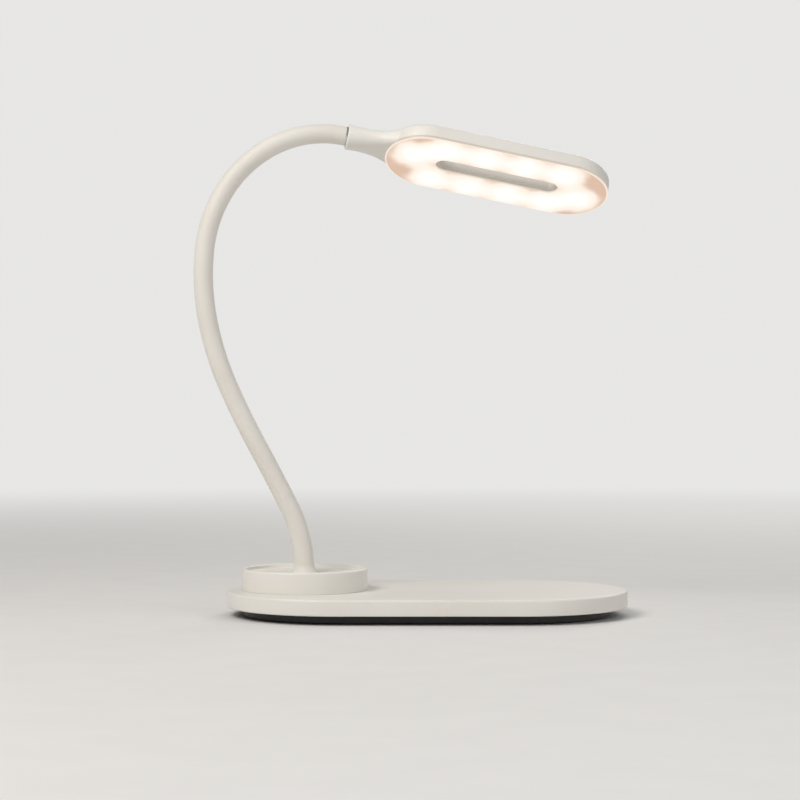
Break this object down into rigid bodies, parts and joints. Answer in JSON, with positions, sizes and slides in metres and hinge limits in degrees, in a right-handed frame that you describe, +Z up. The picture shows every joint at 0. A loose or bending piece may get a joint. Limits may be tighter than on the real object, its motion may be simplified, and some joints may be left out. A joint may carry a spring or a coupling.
{
  "type": "desk lamp",
  "caption": "Desk lamp: flat base plate with round ends, dished round collar, bendable arm and a slotted ring head with a glowing lower face.",
  "frame": {"origin": "centre of the pad's underside, the face the lamp stands on", "axes": "+Z up, +X along the base plate from the collar to the free end, +Y to the back"},
  "size_m": [0.2592, 0.134, 0.2946],
  "materials": {
    "body": "smooth off-white moulded plastic",
    "sleeve": "soft matt off-white silicone sleeve",
    "pad": "dark soft pad",
    "core_steel": "wound steel spring, bare",
    "ballast_steel": "bare rolled sheet",
    "bright_steel": "plain zinc-plated",
    "diffuser": "milky, lit from inside",
    "board": "green solder mask",
    "light_board": "white solder mask on aluminium",
    "light_chip": "yellow phosphor",
    "black_part": "black moulded",
    "socket": "natural nylon",
    "copper": "enamelled copper wire and foil",
    "ferrite": "matt dark sheet",
    "lead": "smooth black insulation"
  },
  "bodies": {
    "base": {"base_deck": "body", "base_cover": "black_part", "non_slip_pad": "pad", "ballast_plate": "ballast_steel", "cover_screws": "bright_steel", "collar": "body", "collar_screws": "bright_steel", "charging_coil": "copper", "ferrite_sheet": "ferrite", "coil_holder": "body", "main_board": "board", "board_screws": "bright_steel", "charger_chip": "black_part", "board_capacitors": "bright_steel", "lead_sockets": "socket", "inlet_shell": "bright_steel", "inlet_tongue": "black_part", "touch_plate": "copper", "touch_lead": "lead", "coil_leads": "lead", "arm_lead_tail": "lead", "arm_foot": "bright_steel", "foot_washer": "bright_steel", "foot_nut": "bright_steel", "sleeve_1": "sleeve", "core_1": "core_steel", "lead_1": "lead"},
    "arm_link_2": {"sleeve_2": "sleeve", "core_2": "core_steel", "lead_2": "lead"},
    "arm_link_3": {"sleeve_3": "sleeve", "core_3": "core_steel", "lead_3": "lead"},
    "arm_link_4": {"sleeve_4": "sleeve", "core_4": "core_steel", "lead_4": "lead"},
    "arm_link_5": {"sleeve_5": "sleeve", "core_5": "core_steel", "lead_5": "lead"},
    "arm_link_6": {"sleeve_6": "sleeve", "core_6": "core_steel", "lead_6": "lead"},
    "arm_link_7": {"sleeve_7": "sleeve", "core_7": "core_steel", "lead_7": "lead"},
    "arm_link_8": {"sleeve_8": "sleeve", "core_8": "core_steel", "lead_8": "lead", "arm_tip": "bright_steel", "snap_ring": "core_steel"},
    "head": {"neck": "body", "neck_screws": "bright_steel", "head_shell": "body", "head_diffuser": "diffuser", "light_board": "light_board", "light_chips": "light_chip", "light_screws": "bright_steel", "head_lead": "lead"}
  },
  "joints": [
    {"name": "arm_bend_1", "type": "hinge", "parent": "base", "child": "arm_link_2", "pos_m": [-0.08254, -0.00113, 0.06455], "axis": [-0.1219, 0.9925, 0], "range_deg": [-18, 15]},
    {"name": "arm_sway_2", "type": "hinge", "parent": "arm_link_2", "child": "arm_link_3", "pos_m": [-0.10133, -0.00344, 0.10092], "axis": [0.8723, 0.1071, 0.4772], "range_deg": [-15, 15]},
    {"name": "arm_bend_3", "type": "hinge", "parent": "arm_link_3", "child": "arm_link_4", "pos_m": [-0.11917, -0.00563, 0.13776], "axis": [-0.1219, 0.9925, 0], "range_deg": [-18, 15]},
    {"name": "arm_bend_4", "type": "hinge", "parent": "arm_link_4", "child": "arm_link_5", "pos_m": [-0.13104, -0.00709, 0.17688], "axis": [-0.1219, 0.9925, 0], "range_deg": [-18, 15]},
    {"name": "arm_sway_5", "type": "hinge", "parent": "arm_link_5", "child": "arm_link_6", "pos_m": [-0.13281, -0.00731, 0.21771], "axis": [0.988, 0.1213, -0.0958], "range_deg": [-15, 15]},
    {"name": "arm_bend_6", "type": "hinge", "parent": "arm_link_6", "child": "arm_link_7", "pos_m": [-0.11936, -0.00566, 0.25598], "axis": [-0.1219, 0.9925, 0], "range_deg": [-18, 15]},
    {"name": "arm_bend_7", "type": "hinge", "parent": "arm_link_7", "child": "arm_link_8", "pos_m": [-0.08892, -0.00192, 0.2824], "axis": [-0.1219, 0.9925, 0], "range_deg": [-18, 15]},
    {"name": "head_swivel", "type": "hinge", "parent": "arm_link_8", "child": "head", "pos_m": [-0.04919, 0.00296, 0.28732], "axis": [0.9743, 0.1196, -0.1908], "range_deg": [-65, 115]}
  ]
}
